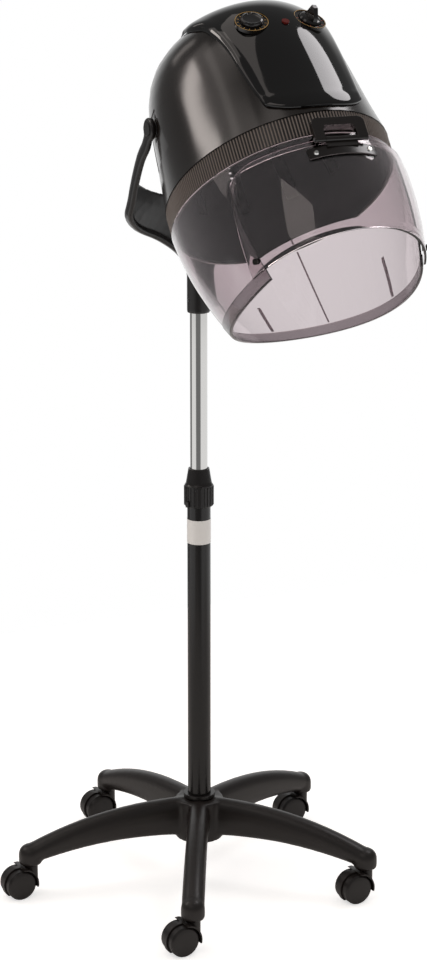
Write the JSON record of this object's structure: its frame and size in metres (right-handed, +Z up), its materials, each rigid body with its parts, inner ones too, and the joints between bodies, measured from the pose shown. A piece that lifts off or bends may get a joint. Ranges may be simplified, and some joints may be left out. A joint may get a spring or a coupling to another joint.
{
  "type": "hood hair dryer",
  "caption": "Salon hood hair dryer on a rolling star base: tilting gloss hood with timer and heat dials and a lift-up visor flap, held by a fork on a height-adjustable column.",
  "frame": {"origin": "on the floor, on the axis of the column", "axes": "+Z up along the column, -Y towards the front of the hood, +X to the right seen from in front of the hood"},
  "size_m": [0.6135, 0.8734, 1.4651],
  "materials": {
    "base_plastic": "fine moulded grain, satin",
    "black_paint": "gloss black enamel",
    "clamp_plastic": "satin black",
    "bearing_nylon": "satin",
    "chrome_tube": "polished",
    "zinc_steel": "bright zinc",
    "pale_band": "plain satin film",
    "yoke_plastic": "fine moulded grain, satin",
    "gloss_black": "high gloss",
    "panel_black": "gloss",
    "ring_black": "semi gloss",
    "visor_clear": "clear smoke tint",
    "bowl_metal": "satin grey",
    "mica_board": "matt",
    "heater_wire": "oxidised",
    "motor_case": "satin",
    "fan_plastic": "satin",
    "switch_body": "satin",
    "dial_trim": "satin black, with printed marks",
    "knob_black": "satin gloss",
    "lamp_red": "clear red",
    "gland_rubber": "matt",
    "bracket_black": "satin",
    "wheel_black": "satin"
  },
  "bodies": {
    "base": {"star_base": "base_plastic", "hub_collar": "clamp_plastic", "hub_bolt": "zinc_steel", "outer_pole": "black_paint", "clamp_collar": "black_paint", "clamp_collet": "bearing_nylon", "pole_band": "pale_band"},
    "clamp_knob": {"clamp_knob": "clamp_plastic"},
    "column": {"inner_tube": "chrome_tube", "tube_guide": "bearing_nylon"},
    "yoke": {"yoke": "yoke_plastic", "yoke_screws": "zinc_steel", "pivot_washers": "chrome_tube", "pivot_caps": "yoke_plastic"},
    "hood": {"outer_shell": "gloss_black", "control_panel": "panel_black", "ribbed_ring": "ring_black", "inner_bowl": "bowl_metal", "bowl_grille": "zinc_steel", "motor": "motor_case", "motor_bracket": "zinc_steel", "heater_frame": "mica_board", "heater_coils": "heater_wire", "timer_body": "switch_body", "heat_switch": "switch_body", "dial_bezels": "dial_trim", "pilot_lamp": "lamp_red", "cord_gland": "gland_rubber", "pivot_bolts": "zinc_steel", "rear_grille": "bracket_black", "visor_skirt": "visor_clear", "hinge_bracket": "bracket_black", "hinge_pin": "zinc_steel"},
    "fan": {"fan": "fan_plastic"},
    "timer_knob": {"timer_knob": "knob_black"},
    "heat_knob": {"heat_knob": "knob_black"},
    "flap": {"visor_flap": "visor_clear", "flap_plate": "bracket_black", "flap_screws": "chrome_tube", "flap_clips": "bracket_black"},
    "caster_1_fork": {"caster_1_stem": "zinc_steel", "caster_1_body": "base_plastic", "caster_1_axle": "zinc_steel"},
    "caster_1_wheels": {"caster_1_wheels": "wheel_black"},
    "caster_2_fork": {"caster_2_stem": "zinc_steel", "caster_2_body": "base_plastic", "caster_2_axle": "zinc_steel"},
    "caster_2_wheels": {"caster_2_wheels": "wheel_black"},
    "caster_3_fork": {"caster_3_stem": "zinc_steel", "caster_3_body": "base_plastic", "caster_3_axle": "zinc_steel"},
    "caster_3_wheels": {"caster_3_wheels": "wheel_black"},
    "caster_4_fork": {"caster_4_stem": "zinc_steel", "caster_4_body": "base_plastic", "caster_4_axle": "zinc_steel"},
    "caster_4_wheels": {"caster_4_wheels": "wheel_black"},
    "caster_5_fork": {"caster_5_stem": "zinc_steel", "caster_5_body": "base_plastic", "caster_5_axle": "zinc_steel"},
    "caster_5_wheels": {"caster_5_wheels": "wheel_black"}
  },
  "joints": [
    {"name": "clamp_turn", "type": "hinge", "parent": "base", "child": "clamp_knob", "pos_m": [0, 0, 0.676], "axis": [0, 0, 1], "range_deg": [0, 120]},
    {"name": "height", "type": "slide", "parent": "base", "child": "column", "axis": [0, 0, 1], "range_m": [-0.22, 0.12]},
    {"name": "head_swivel", "type": "hinge", "parent": "column", "child": "yoke", "pos_m": [0, 0, 0.99], "axis": [0, 0, 1], "range_deg": [-120, 120]},
    {"name": "hood_tilt", "type": "hinge", "parent": "yoke", "child": "hood", "pos_m": [0, -0.155, 1.278], "axis": [1, 0, 0], "range_deg": [-22, 32]},
    {"name": "fan_spin", "type": "hinge", "parent": "hood", "child": "fan", "pos_m": [0, -0.13938, 1.34576], "axis": [0, 0.606, 0.7955], "continuous": true},
    {"name": "timer_turn", "type": "hinge", "parent": "hood", "child": "timer_knob", "pos_m": [-0.04599, -0.28707, 1.43937], "axis": [-0.1418, -0.456, 0.8786], "range_deg": [0, 300]},
    {"name": "heat_turn", "type": "hinge", "parent": "hood", "child": "heat_knob", "pos_m": [0.04599, -0.28707, 1.43937], "axis": [0.1418, -0.456, 0.8786], "range_deg": [0, 180]},
    {"name": "flap_lift", "type": "hinge", "parent": "hood", "child": "flap", "pos_m": [0, -0.47931, 1.29547], "axis": [-1, 0, 0], "range_deg": [0, 100]},
    {"name": "caster_1_swivel", "type": "hinge", "parent": "base", "child": "caster_1_fork", "pos_m": [-0.12849, -0.25998, 0.06], "axis": [0, 0, 1], "continuous": true},
    {"name": "caster_1_roll", "type": "hinge", "parent": "caster_1_fork", "child": "caster_1_wheels", "pos_m": [-0.1514, -0.26199, 0.025], "axis": [0.0872, -0.9962, 0], "continuous": true},
    {"name": "caster_2_swivel", "type": "hinge", "parent": "base", "child": "caster_2_fork", "pos_m": [0.20755, -0.20254, 0.06], "axis": [0, 0, 1], "continuous": true},
    {"name": "caster_2_roll", "type": "hinge", "parent": "caster_2_fork", "child": "caster_2_wheels", "pos_m": [0.18464, -0.20455, 0.025], "axis": [0.0872, -0.9962, 0], "continuous": true},
    {"name": "caster_3_swivel", "type": "hinge", "parent": "base", "child": "caster_3_fork", "pos_m": [0.25676, 0.1348, 0.06], "axis": [0, 0, 1], "continuous": true},
    {"name": "caster_3_roll", "type": "hinge", "parent": "caster_3_fork", "child": "caster_3_wheels", "pos_m": [0.23385, 0.1328, 0.025], "axis": [0.0872, -0.9962, 0], "continuous": true},
    {"name": "caster_4_swivel", "type": "hinge", "parent": "base", "child": "caster_4_fork", "pos_m": [-0.04886, 0.28585, 0.06], "axis": [0, 0, 1], "continuous": true},
    {"name": "caster_4_roll", "type": "hinge", "parent": "caster_4_fork", "child": "caster_4_wheels", "pos_m": [-0.07177, 0.28385, 0.025], "axis": [0.0872, -0.9962, 0], "continuous": true},
    {"name": "caster_5_swivel", "type": "hinge", "parent": "base", "child": "caster_5_fork", "pos_m": [-0.28696, 0.04186, 0.06], "axis": [0, 0, 1], "continuous": true},
    {"name": "caster_5_roll", "type": "hinge", "parent": "caster_5_fork", "child": "caster_5_wheels", "pos_m": [-0.30988, 0.03986, 0.025], "axis": [0.0872, -0.9962, 0], "continuous": true}
  ]
}
